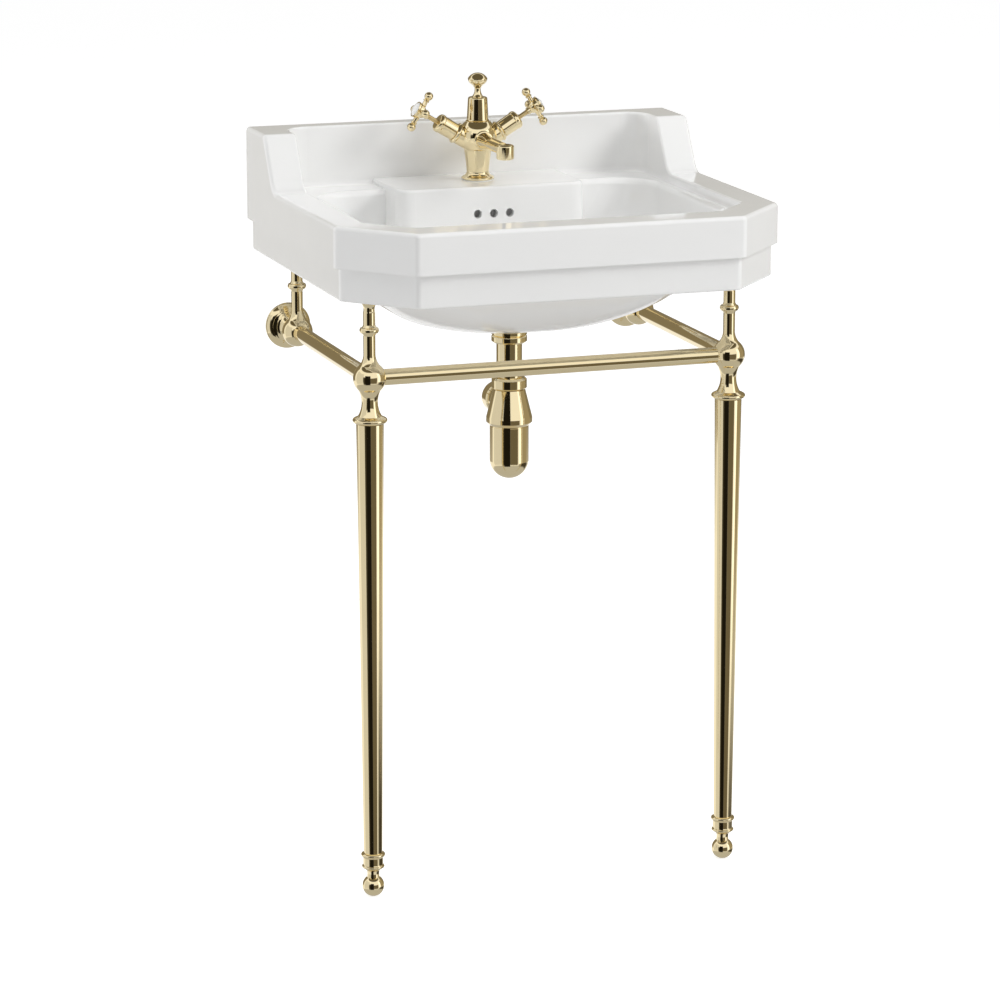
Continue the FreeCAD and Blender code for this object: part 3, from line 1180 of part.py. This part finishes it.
def wall_rose(side):
    """Stepped turned rose that covers the wall plate; its axis runs from the wall to the front."""
    first, second, third = ROSE_STEP_RADII
    bore = RAIL_RADIUS + FIT
    cover = PLATE_RADIUS + GAP
    inside = PLATE_THICKNESS + GAP
    outline = [
        (cover, 0), (ROSE_RADIUS - 0.6, 0), (ROSE_RADIUS + 0.3, 1.6, ROSE_RADIUS - 0.8, 3.2),
        (ROSE_RADIUS - 4, 6.6, first + 1.2, 8.4), (first + 1.2, 9.2), (first, 9.8),
        (first - 1.6, 10.4, second + 1.0, 11.6), (second + 1.0, 12.4), (second, 13.0),
        (second - 1.2, 13.6, third + 0.8, 14.6), (third + 0.8, 15.4), (third, 16.2), (bore + 1.4, ROSE_DEPTH),
        (bore, ROSE_DEPTH), (bore, ROSE_DEPTH - 10), (first - ROSE_SHELL, inside + 1.2), (cover, inside),
    ]
    return turned(outline, point(side * STAND_HALF_WIDTH, WALL_Y, RAIL_HEIGHT), TO_FRONT)


def front_rail():
    inset = STAND_HALF_WIDTH - RAIL_START
    start = point(-inset, FRONT_Y, RAIL_HEIGHT)
    return ring(RAIL_RADIUS, RAIL_RADIUS - RAIL_WALL, 2 * inset, start, point(1, 0, 0))


def side_rail(side):
    length = REAR_Y - FRONT_Y - 2 * RAIL_START
    start = point(side * STAND_HALF_WIDTH, FRONT_Y + RAIL_START, RAIL_HEIGHT)
    return ring(RAIL_RADIUS, RAIL_RADIUS - RAIL_WALL, length, start, TO_WALL)


def leg(side):
    """Tapered tube from the collar down to the ferrule."""
    outline = [
        (LEG_BOTTOM_RADIUS - LEG_WALL, LEG_BOTTOM), (LEG_BOTTOM_RADIUS, LEG_BOTTOM),
        (LEG_TOP_RADIUS, LEG_TOP), (LEG_TOP_RADIUS - LEG_WALL, LEG_TOP),
    ]
    return turned(outline, point(side * STAND_HALF_WIDTH, FRONT_Y, 0))


def foot_ferrule(side):
    """Ringed ferrule at the end of a leg, tapped for the foot's stud."""
    half = FERRULE_RING_THICKNESS / 2
    top_ring = FERRULE_TOP_RING_RADIUS
    low_ring = FERRULE_LOW_RING_RADIUS
    bore = FOOT_STUD_RADIUS + FIT
    spigot = LEG_BOTTOM_RADIUS - LEG_WALL - FIT
    outline = [
        (bore, FERRULE_BOTTOM), (FOOT_NECK_RADIUS + 0.6, FERRULE_BOTTOM),
        (low_ring - 1.6, FERRULE_LOW_RING_HEIGHT - half + 0.3),
        (low_ring, FERRULE_LOW_RING_HEIGHT, low_ring - 1.2, FERRULE_LOW_RING_HEIGHT + half - 1),
        (FERRULE_RADIUS, FERRULE_LOW_RING_HEIGHT + half),
        (FERRULE_RADIUS, FERRULE_TOP_RING_HEIGHT - half - 1),
        (top_ring - 1.6, FERRULE_TOP_RING_HEIGHT - half + 0.4),
        (top_ring, FERRULE_TOP_RING_HEIGHT, top_ring - 1.6, LEG_BOTTOM - 0.4),
        (LEG_BOTTOM_RADIUS, LEG_BOTTOM), (spigot, LEG_BOTTOM), (spigot, LEG_BOTTOM + SPIGOT_LENGTH),
        (bore, LEG_BOTTOM + SPIGOT_LENGTH),
    ]
    return turned(outline, point(side * STAND_HALF_WIDTH, FRONT_Y, 0))


def levelling_foot(side):
    """Ball foot with a small flat underneath and a threaded stud."""
    ball = FOOT_BALL_RADIUS
    centre = FOOT_BALL_HEIGHT
    flat = on_ball(ball, centre)
    neck = FOOT_NECK_RADIUS
    neck_z = centre + on_ball(ball, neck)
    stud_top = FERRULE_BOTTOM + FOOT_STUD_LENGTH
    outline = [
        (0, 0), (flat, 0), (ball, centre, neck, neck_z), (neck - 0.4, (neck_z + FERRULE_BOTTOM) / 2),
        (neck, FERRULE_BOTTOM - FIT), (FOOT_STUD_RADIUS, FERRULE_BOTTOM - FIT), (FOOT_STUD_RADIUS, stud_top),
        (0, stud_top),
    ]
    return turned(outline, point(side * STAND_HALF_WIDTH, FRONT_Y, 0))


def upright_pads():
    """Rubber pads between the uprights and the basin."""
    pads = []
    for x in (-STAND_HALF_WIDTH, STAND_HALF_WIDTH):
        for y in (FRONT_Y, REAR_Y):
            base = point(x, y, APRON_BOTTOM - PAD_THICKNESS)
            pads.append(cylinder(UPRIGHT_HEAD_RADIUS, PAD_THICKNESS, base))
    return Part.makeCompound(pads)


def stand():
    """Every piece of the stand by name."""
    pieces = {"front_rail": front_rail(), "upright_pads": upright_pads()}
    for name, side in SIDES.items():
        x = side * STAND_HALF_WIDTH
        pieces["side_rail_" + name] = side_rail(side)
        pieces["front_joint_" + name] = front_joint(side)
        pieces["rear_joint_" + name] = rear_joint(side)
        pieces["upright_front_" + name] = upright(x, FRONT_Y)
        pieces["upright_rear_" + name] = upright(x, REAR_Y)
        pieces["leg_" + name] = leg(side)
        pieces["foot_" + name] = levelling_foot(side)
        pieces["wall_rose_" + name] = wall_rose(side)
    pieces["foot_ferrules"] = Part.makeCompound([foot_ferrule(side) for side in SIDES.values()])
    pieces["wall_plates"] = Part.makeCompound([wall_plate(side) for side in SIDES.values()])
    return pieces


def tap():
    """Every piece of the tap by name; hot is on the left."""
    pieces = {
        "tap_body": tap_body(), "tap_column": tap_column(), "tap_finial": tap_finial(),
        "spout_nozzle": spout_nozzle(), "spout_straightener": spout_straightener(),
    }
    pieces.update(tap_fixing())
    for name, side in (("hot", SIDES["left"]), ("cold", SIDES["right"])):
        pieces[name + "_valve_cover"] = valve_cover(side)
        pieces[name + "_cartridge"] = valve_cartridge(side)
        pieces[name + "_spindle"] = valve_spindle(side)
        pieces[name + "_handle"] = cross_handle(side)
        pieces[name + "_index"] = handle_index(side)
    return pieces


def waste_and_trap():
    """Every piece under the bowl by name."""
    pieces = {
        "waste_body": waste_body(), "waste_back_nut": waste_back_nut(), "waste_union_nut": waste_union_nut(),
        "tail_pipe": tail_pipe(), "trap_inlet_nut": trap_inlet_nut(), "trap_inlet_seal": trap_inlet_seal(),
        "trap_body": trap_body(), "trap_dip_tube": trap_dip_tube(), "trap_cup": trap_cup(),
        "trap_cup_seal": trap_cup_seal(),
    }
    pieces.update(waste_seals())
    pieces.update(plug_pieces())
    pieces.update(trap_outlet())
    return pieces


def main():
    os.makedirs("parts", exist_ok=True)
    pieces = {"basin": basin()}
    pieces.update(waste_and_trap())
    pieces.update(tap())
    pieces.update(stand())
    for name, shape in pieces.items():
        shape.exportStep(os.path.join("parts", name + ".step"))


main()
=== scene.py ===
import math

import bpy
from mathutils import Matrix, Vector


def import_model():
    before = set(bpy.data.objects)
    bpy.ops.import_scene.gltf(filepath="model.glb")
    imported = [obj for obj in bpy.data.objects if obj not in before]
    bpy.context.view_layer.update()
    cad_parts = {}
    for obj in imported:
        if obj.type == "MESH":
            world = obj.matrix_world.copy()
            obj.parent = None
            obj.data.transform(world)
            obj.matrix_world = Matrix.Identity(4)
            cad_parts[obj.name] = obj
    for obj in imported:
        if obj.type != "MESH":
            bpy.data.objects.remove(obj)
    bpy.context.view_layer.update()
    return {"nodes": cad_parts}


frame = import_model()

# ---------------------------------------------------------------- camera
CAMERA_PLACE = (-1.596, -4.643, 1.607)
CAMERA_PITCH = 13.24
CAMERA_YAW = 18.7
CAMERA_LENS = 146.0
SENSOR = 36.0
CAMERA_REACH = 200.0

# ---------------------------------------------------------------- studio
STUDIO_CENTRE = Vector((0.0, 0.0, 0.6))
CARD_RADIUS = 9.0
CARD_SPACING = 0.2
CARD_STEPS = 30
# cards dimmer than this are brown, the others white
DIM_CARD = 0.5
DIM_TINT = (1.0, 0.86, 0.58, 1.0)
BRIGHT_TINT = (1.0, 1.0, 1.0, 1.0)
FLOOR_HALF = 40.0
FLOOR_CLOUD_SCALE = 3.0
FLOOR_TONES = ((0.80, 0.80, 0.80), (0.81, 0.81, 0.81))
WORLD_LIGHT = 0.45
FLOOR_LIFT = 0.62
# name, azimuths from the camera, elevations, brightness, feather; the first lie in front of the others
CARDS = (
    ("card_dark", (-32.0, 8.0), (-40.0, 26.0), 0.012, 0.06),
    ("card_shade", (-46.0, -26.0), (-40.0, 20.0), 0.05, 0.20),
    ("card_under", (50.0, 160.0), (-38.0, -15.0), 0.06, 0.30),
    ("card_brown", (4.0, 56.0), (-30.0, 10.0), 0.15, 0.08),
    ("card_pale", (-104.0, -40.0), (-30.0, 34.0), 0.72, 0.08),
    ("card_left", (-76.0, -62.0), (-24.0, 36.0), 1.6, 0.20),
    ("card_right", (60.0, 82.0), (-24.0, 38.0), 1.5, 0.10),
    ("card_edge", (80.0, 128.0), (-20.0, 36.0), 0.36, 0.10),
    ("card_behind", (110.0, 250.0), (-16.0, 40.0), 0.24, 0.08),
    ("card_ceiling", (-180.0, 180.0), (44.0, 90.0), 0.13, 0.12),
    ("card_ground", (-180.0, 180.0), (-90.0, -28.0), 0.52, 0.10),
)
# name, place, size, power, aim
LAMPS = (
    ("lamp_key", (3.1, -2.2, 3.0), 1.8, 88.0, (0.0, 0.0, 0.7)),
    ("lamp_side", (-3.4, 2.7, 1.6), 2.2, 88.0, (0.0, 0.0, 0.7)),
    ("lamp_low", (-1.5, -3.8, 0.5), 1.8, 14.0, (0.0, 0.0, 0.5)),
    ("lamp_top", (-0.5, -0.6, 3.8), 2.6, 30.0, (0.0, 0.0, 0.8)),
)


# ---------------------------------------------------------------- surface textures
# scales are per metre; a bump is its strength and its depth in metres
GLAZE_CLOUD_SCALE = 9.0
GLAZE_GLOSS_SCALE = 40.0
GLAZE_ROUGHNESS = (0.05, 0.11)
GLAZE_WAVE_SCALE = 14.0
GLAZE_WAVE_BUMP = (0.10, 0.002)
GLAZE_PEEL_SCALE = 420.0
GLAZE_PEEL_BUMP = (0.035, 0.0002)
GLAZE_COAT_ROUGHNESS = 0.03
GLAZE_IOR = 1.52
METAL_CLOUD_SCALE = 24.0
METAL_GLOSS_SCALE = 130.0
METAL_WAVE_SCALE = 55.0
METAL_WAVE_DEPTH = 0.0005
METAL_HAIR_SCALE = 1400.0
METAL_HAIR_DEPTH = 0.00005
MOULDED_CLOUD_SCALE = 160.0
MOULDED_GLOSS_SCALE = 300.0
MOULDED_GRAIN_SCALE = 2200.0
MOULDED_GRAIN_DEPTH = 0.0001


# ---------------------------------------------------------------- shader graphs
def graph(name):
    """A new material's node tree with its principled shader already joined to the output."""
    material = bpy.data.materials.new(name)
    material.use_nodes = True
    tree = material.node_tree
    tree.nodes.clear()
    output = tree.nodes.new("ShaderNodeOutputMaterial")
    shader = tree.nodes.new("ShaderNodeBsdfPrincipled")
    tree.links.new(shader.outputs[0], output.inputs["Surface"])
    return material, tree, shader


def add(tree, kind, settings=None, **inputs):
    """A node of that kind; inputs are numbers, colours or the sockets that feed them."""
    node = tree.nodes.new("ShaderNode" + kind)
    for key, value in (settings or {}).items():
        setattr(node, key, value)
    for key, value in inputs.items():
        socket = node.inputs[key.replace("_", " ")]
        if isinstance(value, bpy.types.NodeSocket):
            tree.links.new(value, socket)
        else:
            socket.default_value = value
    return node


def object_place(tree):
    return add(tree, "TexCoord").outputs["Object"]


def noise(tree, place, scale, detail=2.0, rough=0.5):
    return add(tree, "TexNoise", Vector=place, Scale=scale, Detail=detail, Roughness=rough).outputs["Fac"]


def spread(tree, value, low, high, start=0.3, end=0.7):
    """Turns a noise value into a number between low and high."""
    node = add(tree, "MapRange", Value=value)
    for key, number in (("From Min", start), ("From Max", end), ("To Min", low), ("To Max", high)):
        node.inputs[key].default_value = number
    return node.outputs["Result"]


def two_tones(tree, value, first, second):
    """Mixes two colours by a noise value."""
    node = add(tree, "MixRGB", Fac=value)
    node.inputs["Color1"].default_value = (*first, 1.0)
    node.inputs["Color2"].default_value = (*second, 1.0)
    return node.outputs["Color"]


def bump(tree, height, strength, distance, under=None):
    """A bump of that strength and depth, laid over another one if that is given."""
    node = add(tree, "Bump", Height=height, Strength=strength, Distance=distance)
    if under is not None:
        tree.links.new(under, node.inputs["Normal"])
    return node.outputs["Normal"]


def glazed(name, tones, coat):
    """Fired glaze: very slow waves, a fine orange peel and a slightly uneven gloss."""
    material, tree, shader = graph(name)
    place = object_place(tree)
    colour = two_tones(tree, noise(tree, place, GLAZE_CLOUD_SCALE), *tones)
    tree.links.new(colour, shader.inputs["Base Color"])
    gloss = spread(tree, noise(tree, place, GLAZE_GLOSS_SCALE), *GLAZE_ROUGHNESS)
    tree.links.new(gloss, shader.inputs["Roughness"])
    waves = bump(tree, noise(tree, place, GLAZE_WAVE_SCALE, detail=1.0), *GLAZE_WAVE_BUMP)
    peel = bump(tree, noise(tree, place, GLAZE_PEEL_SCALE), *GLAZE_PEEL_BUMP, under=waves)
    tree.links.new(peel, shader.inputs["Normal"])
    shader.inputs["Coat Weight"].default_value = coat
    shader.inputs["Coat Roughness"].default_value = GLAZE_COAT_ROUGHNESS
    shader.inputs["IOR"].default_value = GLAZE_IOR
    return material


def metal(name, tones, roughness, wave, grain):
    """Plated or machined metal: cloudy tone, uneven polish and hairline grain."""
    material, tree, shader = graph(name)
    place = object_place(tree)
    colour = two_tones(tree, noise(tree, place, METAL_CLOUD_SCALE, detail=3.0), *tones)
    tree.links.new(colour, shader.inputs["Base Color"])
    gloss = spread(tree, noise(tree, place, METAL_GLOSS_SCALE, detail=4.0), *roughness)
    tree.links.new(gloss, shader.inputs["Roughness"])
    waves = bump(tree, noise(tree, place, METAL_WAVE_SCALE, detail=1.0), wave, METAL_WAVE_DEPTH)
    hairs = bump(tree, noise(tree, place, METAL_HAIR_SCALE, detail=3.0), grain, METAL_HAIR_DEPTH, under=waves)
    tree.links.new(hairs, shader.inputs["Normal"])
    shader.inputs["Metallic"].default_value = 1.0
    return material


def moulded(name, tones, roughness, grain):
    """Moulded rubber or plastic: speckled tone and a fine matt grain."""
    material, tree, shader = graph(name)
    place = object_place(tree)
    colour = two_tones(tree, noise(tree, place, MOULDED_CLOUD_SCALE, detail=4.0), *tones)
    tree.links.new(colour, shader.inputs["Base Color"])
    gloss = spread(tree, noise(tree, place, MOULDED_GLOSS_SCALE), *roughness)
    tree.links.new(gloss, shader.inputs["Roughness"])
    fine = bump(tree, noise(tree, place, MOULDED_GRAIN_SCALE), grain, MOULDED_GRAIN_DEPTH)
    tree.links.new(fine, shader.inputs["Normal"])
    return material


CERAMIC_TONES = ((0.875, 0.877, 0.870), (0.90, 0.90, 0.892))
INDEX_TONES = ((0.86, 0.86, 0.84), (0.90, 0.90, 0.885))
GOLD_TONES = ((0.92, 0.79, 0.51), (0.89, 0.755, 0.47))
BRASS_TONES = ((0.74, 0.58, 0.30), (0.66, 0.50, 0.24))
STEEL_TONES = ((0.62, 0.62, 0.61), (0.54, 0.54, 0.54))
RUBBER_TONES = ((0.022, 0.022, 0.022), (0.045, 0.044, 0.042))
PLASTIC_TONES = ((0.80, 0.80, 0.775), (0.84, 0.84, 0.82))
# by the slot that the part's nodes name
MATERIALS = {
    "glazed_ceramic": glazed("ceramic_glaze", CERAMIC_TONES, coat=0.15),
    "index_ceramic": glazed("index_glaze", INDEX_TONES, coat=0.6),
    "polished_gold": metal("gold_polish", GOLD_TONES, (0.035, 0.085), wave=0.035, grain=0.03),
    "raw_brass": metal("brass_machined", BRASS_TONES, (0.22, 0.38), wave=0.06, grain=0.15),
    "steel": metal("steel_plain", STEEL_TONES, (0.25, 0.42), wave=0.06, grain=0.15),
    "rubber": moulded("rubber_black", RUBBER_TONES, (0.55, 0.75), grain=0.25),
    "plastic": moulded("plastic_white", PLASTIC_TONES, (0.28, 0.42), grain=0.10),
}

for node in frame["nodes"].values():
    given = node.data.materials[0].name
    slot = next(name for name in MATERIALS if given.startswith(name))
    node.material_slots[0].link = "OBJECT"
    node.material_slots[0].material = MATERIALS[slot]


# ---------------------------------------------------------------- floor, cards and lamps
def stage_mesh(name, vertices, faces, material):
    mesh = bpy.data.meshes.new(name)
    mesh.from_pydata(vertices, [], faces)
    mesh.materials.append(material)
    piece = bpy.data.objects.new(name, mesh)
    bpy.context.scene.collection.objects.link(piece)
    return piece


def background_share(tree):
    """1 for what the camera, a reflection or a see-through piece looks at, 0 for light on the object."""
    path = add(tree, "LightPath")
    seen = add(tree, "Math", {"operation": "MAXIMUM"})
    tree.links.new(path.outputs["Is Camera Ray"], seen.inputs[0])
    tree.links.new(path.outputs["Is Glossy Ray"], seen.inputs[1])
    both = add(tree, "Math", {"operation": "MAXIMUM"})
    tree.links.new(seen.outputs[0], both.inputs[0])
    tree.links.new(path.outputs["Is Transmission Ray"], both.inputs[1])
    return both.outputs[0]


def floor():
    """Pale floor that shows as white, apart from the light that the object keeps off it."""
    material, tree, shader = graph("floor_white")
    shader.inputs["Roughness"].default_value = 1.0
    shader.inputs["Specular IOR Level"].default_value = 0.0
    tone = two_tones(tree, noise(tree, object_place(tree), FLOOR_CLOUD_SCALE), *FLOOR_TONES)
    tree.links.new(tone, shader.inputs["Base Color"])
    shader.inputs["Emission Color"].default_value = (1.0, 1.0, 1.0, 1.0)
    lift = add(tree, "Math", {"operation": "MULTIPLY"})
    tree.links.new(background_share(tree), lift.inputs[0])
    lift.inputs[1].default_value = FLOOR_LIFT
    tree.links.new(lift.outputs[0], shader.inputs["Emission Strength"])
    corners = [(sx * FLOOR_HALF, sy * FLOOR_HALF, 0.0) for sx, sy in ((-1, -1), (1, -1), (1, 1), (-1, 1))]
    piece = stage_mesh("floor", corners, [(0, 1, 2, 3)], material)
    piece.visible_glossy = False


def feathered(tree, place, feather, low_edge, high_edge):
    """0 at the stated edges of a card's run from 0 to 1, and 1 further inside."""
    start, inside = (0.0, feather) if low_edge else (1.0, 1.0 - feather)
    if low_edge and high_edge:
        middle = add(tree, "Math", {"operation": "SUBTRACT"})
        tree.links.new(place, middle.inputs[0])
        middle.inputs[1].default_value = 0.5
        away = add(tree, "Math", {"operation": "ABSOLUTE"})
        tree.links.new(middle.outputs[0], away.inputs[0])
        place, start, inside = away.outputs[0], 0.5, 0.5 - feather
    edge = add(tree, "MapRange", {"interpolation_type": "SMOOTHSTEP"}, Value=place)
    for key, number in (("From Min", start), ("From Max", inside), ("To Min", 0.0), ("To Max", 1.0)):
        edge.inputs[key].default_value = number
    return edge.outputs["Result"]


def card_material(name, azimuths, elevations, brightness, feather):
    """Glow that fades out at the card's edges, except round the object, overhead and underfoot."""
    material = bpy.data.materials.new(name)
    material.use_nodes = True
    tree = material.node_tree
    tree.nodes.clear()
    output = tree.nodes.new("ShaderNodeOutputMaterial")
    place = add(tree, "SeparateXYZ", Vector=add(tree, "TexCoord").outputs["UV"])
    mask = feathered(tree, place.outputs["Y"], feather, elevations[0] > -90.0, elevations[1] < 90.0)
    if azimuths[1] - azimuths[0] < 360.0:
        both = add(tree, "Math", {"operation": "MULTIPLY"})
        tree.links.new(mask, both.inputs[0])
        tree.links.new(feathered(tree, place.outputs["X"], feather, True, True), both.inputs[1])
        mask = both.outputs[0]
    tint = DIM_TINT if brightness < DIM_CARD else BRIGHT_TINT
    glow = add(tree, "Emission", Strength=brightness, Color=tint)
    clear = add(tree, "BsdfTransparent")
    mix = add(tree, "MixShader", Fac=mask)
    tree.links.new(clear.outputs[0], mix.inputs[1])
    tree.links.new(glow.outputs[0], mix.inputs[2])
    tree.links.new(mix.outputs[0], output.inputs["Surface"])
    return material


def card(name, azimuths, elevations, brightness, feather, radius):
    """A soft-edged studio card that only reflections show, on a sphere round the object."""
    vertices, faces, corners = [], [], []
    for i in range(CARD_STEPS + 1):
        for j in range(CARD_STEPS + 1):
            u, v = i / CARD_STEPS, j / CARD_STEPS
            a = math.radians(azimuths[0] + (azimuths[1] - azimuths[0]) * u - CAMERA_YAW)
            e = math.radians(elevations[0] + (elevations[1] - elevations[0]) * v)
            way = Vector((math.sin(a) * math.cos(e), -math.cos(a) * math.cos(e), math.sin(e)))
            vertices.append(STUDIO_CENTRE + way * radius)
            corners.append((u, v))
    for i in range(CARD_STEPS):
        for j in range(CARD_STEPS):
            k = i * (CARD_STEPS + 1) + j
            faces.append((k, k + CARD_STEPS + 1, k + CARD_STEPS + 2, k + 1))
    material = card_material(name, azimuths, elevations, brightness, feather)
    piece = stage_mesh(name, vertices, faces, material)
    layer = piece.data.uv_layers.new(name="card")
    for loop in piece.data.loops:
        layer.data[loop.index].uv = corners[loop.vertex_index]
    piece.visible_camera = False
    piece.visible_diffuse = False
    piece.visible_shadow = False


def lamp(name, place, size, power, aim):
    """Round soft lamp that reflections and the camera don't see."""
    light = bpy.data.lights.new(name, "AREA")
    light.shape = "DISK"
    light.size = size
    light.energy = power
    piece = bpy.data.objects.new(name, light)
    piece.location = place
    piece.rotation_euler = (Vector(aim) - Vector(place)).to_track_quat("-Z", "Y").to_euler()
    bpy.context.scene.collection.objects.link(piece)
    piece.visible_camera = False
    piece.visible_glossy = False


def world():
    """White all round for the camera and for reflections, and a softer white as light."""
    scene_world = bpy.data.worlds.new("studio")
    bpy.context.scene.world = scene_world
    scene_world.use_nodes = True
    tree = scene_world.node_tree
    tree.nodes.clear()
    output = tree.nodes.new("ShaderNodeOutputWorld")
    strength = add(tree, "MapRange", Value=background_share(tree))
    strength.inputs["To Min"].default_value = WORLD_LIGHT
    strength.inputs["To Max"].default_value = 1.0
    back = add(tree, "Background", Strength=strength.outputs["Result"])
    back.inputs["Color"].default_value = (1.0, 1.0, 1.0, 1.0)
    tree.links.new(back.outputs[0], output.inputs["Surface"])


def camera():
    """The photograph's camera."""
    data = bpy.data.cameras.new("camera")
    data.lens = CAMERA_LENS
    data.sensor_width = SENSOR
    data.clip_end = CAMERA_REACH
    piece = bpy.data.objects.new("camera", data)
    piece.location = CAMERA_PLACE
    piece.rotation_euler = (math.radians(90.0 - CAMERA_PITCH), 0.0, math.radians(-CAMERA_YAW))
    bpy.context.scene.collection.objects.link(piece)
    bpy.context.scene.camera = piece


floor()
world()
camera()
for number, row in enumerate(CARDS):
    card(*row, CARD_RADIUS + CARD_SPACING * number)
for row in LAMPS:
    lamp(*row)
bpy.context.scene.view_settings.view_transform = "Standard"
